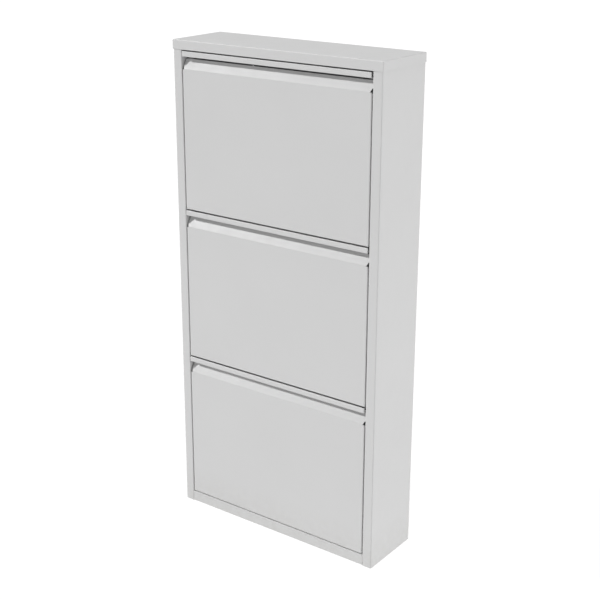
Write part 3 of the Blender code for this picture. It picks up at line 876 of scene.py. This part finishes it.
def add_bumpers():
    low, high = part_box("rail_bumper_lower_right")
    thickness = high.y - low.y
    centre = ((low.x + high.x) / 2, high.y, (low.z + high.z) / 2)
    radius = (high.z - low.z) / 2
    dome = [(radius * math.cos(a), thickness * (0.35 + 0.65 * math.sin(a))) for a in arc_angles(0, 90, 8)]
    profile = [(0, 0), (radius, 0), *dome[:-1], (0, thickness)]
    dress_pairs("rail_bumper", turned("rail_bumper", profile, centre, -Y_AXIS, 40))


def arc_angles(start, end, steps):
    """Evenly spaced angles in radians between two in degrees."""
    return [math.radians(start + (end - start) * step / steps) for step in range(steps + 1)]


def cross_recess(depth, reach, width):
    """Cutters for the cross in a screw head whose top is at height 0."""
    cutters = []
    for angle in (0, 90):
        bm = bmesh.new()
        bmesh.ops.create_cube(bm, size=1)
        for vert in bm.verts:
            narrow = RECESS_TAPER if vert.co.z < 0 else 1.0
            vert.co = Vector((vert.co.x * 2 * reach * narrow, vert.co.y * width, vert.co.z * 2 * depth))
        turn = Matrix.Rotation(math.radians(angle), 3, "Z")
        bmesh.ops.rotate(bm, cent=(0, 0, 0), matrix=turn, verts=bm.verts[:])
        cutters.append(finish_mesh("cross", bm))
    return cutters


def screw_mesh(name, head_radius, head_height, shank_radius, shank_length):
    """Pan-head screw along Z, with its head's top at height 0 and a cross recess."""
    dome = [
        (head_radius * math.cos(a), -head_height + head_height * math.sin(a)) for a in arc_angles(18, 90, 7)
    ]
    profile = [(0, -head_height - shank_length), (shank_radius, -head_height - shank_length)]
    profile += [(shank_radius, -head_height), (head_radius, -head_height), *dome[:-1], (0, 0)]
    body = turned(name, profile, (0, 0, 0), Z_AXIS, 40)
    cutters = cross_recess(head_height * 0.6, head_radius * 0.52, RECESS_WIDTH)
    return softened_edges(carved(name, body, cutters), SCREW_EDGE_ROUNDING)


def aimed(mesh, place, direction):
    """The mesh with its Z axis turned to a direction and its origin moved to a place."""
    copy = mesh.copy()
    turn = Z_AXIS.rotation_difference(direction).to_matrix().to_4x4()
    copy.transform(Matrix.Translation(place) @ turn)
    return copy


def add_rail_screws():
    low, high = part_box("rail_screw_lower_right")
    place = Vector(((low.x + high.x) / 2, low.y, (low.z + high.z) / 2))
    length = high.y - low.y - RAIL_SCREW_HEAD
    screw = screw_mesh("rail_screw", RAIL_SCREW_HEAD_RADIUS, RAIL_SCREW_HEAD, RAIL_SCREW_RADIUS, length)
    dress_pairs("rail_screw", aimed(screw, place, -Y_AXIS))


def add_back_screws():
    """Screws through the side panels' rear flanges into the back panel, with low heads on the flanges."""
    sizes = (BACK_SCREW_HEAD_RADIUS, BACK_SCREW_HEAD, BACK_SCREW_RADIUS, BACK_SCREW_LENGTH)
    screw = screw_mesh("back_screw", *sizes)
    x = SIDE_HIGH.x - REAR_FLANGE / 2 - BACK_SCREW_OFFSET
    for hand, side in HANDS:
        for number, height in enumerate(BACK_SCREW_HEIGHTS, start=1):
            place = Vector((side * x, SIDE_HIGH.y + BACK_SCREW_HEAD, height))
            show(f"back_screw_{hand}_{number}", aimed(screw, place, Y_AXIS), "carcass", "zinc_steel")


def rivet_mesh():
    """Blind rivet along Z through two sheets: a domed head above and a rolled tail below."""
    angles = arc_angles(12, 78, 6)
    dome = [(RIVET_RADIUS * math.cos(a), SHEET + GAP + RIVET_HEAD * math.sin(a)) for a in angles]
    tail = -SHEET - GAP
    profile = [(0, tail - RIVET_TAIL), (RIVET_TAIL_TIP, tail - RIVET_TAIL)]
    profile += [(RIVET_TAIL_RADIUS, tail - RIVET_TAIL_EDGE), (RIVET_TAIL_RADIUS, tail)]
    profile += [(RIVET_SHANK, tail), (RIVET_SHANK, SHEET + GAP), (RIVET_RADIUS, SHEET + GAP), *dome]
    top = dome[-1][1]
    profile += [(MANDREL_RADIUS, top - MANDREL_RIM), (MANDREL_RADIUS, top - MANDREL_DEPTH)]
    profile.append((0, top - MANDREL_DEPTH))
    return turned("rivet", profile, (0, 0, 0), Z_AXIS, 32)


def add_rivets():
    rivet = rivet_mesh()
    spots = [(spot, -Z_AXIS) for spot in floor_rivets()]
    for spot in cheek_rivets():
        spots += [(spot, Y_AXIS), (Vector((-spot.x, spot.y, spot.z)), Y_AXIS)]
    for flap in FLAPS:
        shift = JOINTS["flap_" + flap] - PIVOT
        for number, (spot, direction) in enumerate(spots, start=1):
            mesh = aimed(rivet, spot + shift, direction)
            show(f"rivet_{flap}_{number}", mesh, "flap_" + flap, "zinc_steel")


# ---------------------------------------------------------------- camera, light and floor


def add_camera():
    data = bpy.data.cameras.new("camera")
    data.lens = CAMERA_LENS
    data.sensor_width = SENSOR_WIDTH
    data.shift_x, data.shift_y = CAMERA_SHIFT
    camera = bpy.data.objects.new("camera", data)
    camera.location = CAMERA_PLACE
    camera.rotation_euler = (math.pi / 2 - CAMERA_DOWN, 0, CAMERA_AZIMUTH)
    bpy.context.scene.collection.objects.link(camera)
    bpy.context.scene.camera = camera


def add_light(name, direction, strength, angle):
    """A sun that shines on the cabinet from a direction. A wider angle makes softer shadows."""
    data = bpy.data.lights.new(name, "SUN")
    data.energy = strength
    data.angle = angle
    light = bpy.data.objects.new(name, data)
    light.location = LIGHT_TARGET + direction * LIGHT_DISTANCE
    light.rotation_euler = direction.to_track_quat("Z", "Y").to_euler()
    bpy.context.scene.collection.objects.link(light)


def add_world():
    """An even white world: the camera sees a pale backdrop, and the cabinet is lit by only a part of it."""
    world = bpy.data.worlds.new("studio")
    world.use_nodes = True
    background = world.node_tree.nodes["Background"]
    background.inputs["Color"].default_value = (1, 1, 1, 1)
    path = world.node_tree.nodes.new("ShaderNodeLightPath")
    strength = world.node_tree.nodes.new("ShaderNodeMath")
    strength.operation = "MULTIPLY_ADD"
    strength.inputs[1].default_value = BACKDROP_STRENGTH - WORLD_STRENGTH
    strength.inputs[2].default_value = WORLD_STRENGTH
    world.node_tree.links.new(path.outputs["Is Camera Ray"], strength.inputs[0])
    world.node_tree.links.new(strength.outputs["Value"], background.inputs["Strength"])
    bpy.context.scene.world = world
    bpy.context.scene.view_settings.view_transform = "Standard"


def add_studio():
    add_world()
    add_light("key", KEY_DIRECTION, KEY_STRENGTH, KEY_ANGLE)
    add_light("fill", FILL_DIRECTION, FILL_STRENGTH, FILL_ANGLE)
    add_light("overhead", OVERHEAD_DIRECTION, OVERHEAD_STRENGTH, OVERHEAD_ANGLE)


def add_floor():
    corners = [(x * FLOOR_REACH, y * FLOOR_REACH, 0) for x, y in ((-1, -1), (1, -1), (1, 1), (-1, 1))]
    mesh = bpy.data.meshes.new("floor")
    mesh.from_pydata(corners, [], [(0, 1, 2, 3)])
    floor = bpy.data.objects.new("floor", mesh)
    bpy.context.scene.collection.objects.link(floor)
    material = bpy.data.materials.new("floor_paper")
    material.use_nodes = True
    shader = material.node_tree.nodes["Principled BSDF"]
    shader.inputs["Base Color"].default_value = (FLOOR_GREY, FLOOR_GREY, FLOOR_GREY, 1)
    shader.inputs["Roughness"].default_value = 0.9
    shader.inputs["Emission Color"].default_value = (1, 1, 1, 1)
    shader.inputs["Emission Strength"].default_value = FLOOR_GLOW
    mesh.materials.append(material)


add_camera()
add_studio()
add_floor()
add_sides()
add_cover()
add_base()
add_back()
add_rails()
add_flap_panels()
add_pocket_sheets()
add_cheeks()
add_feet()
add_bushes()
add_pins()
add_stops()
add_bumpers()
add_rail_screws()
add_back_screws()
add_rivets()
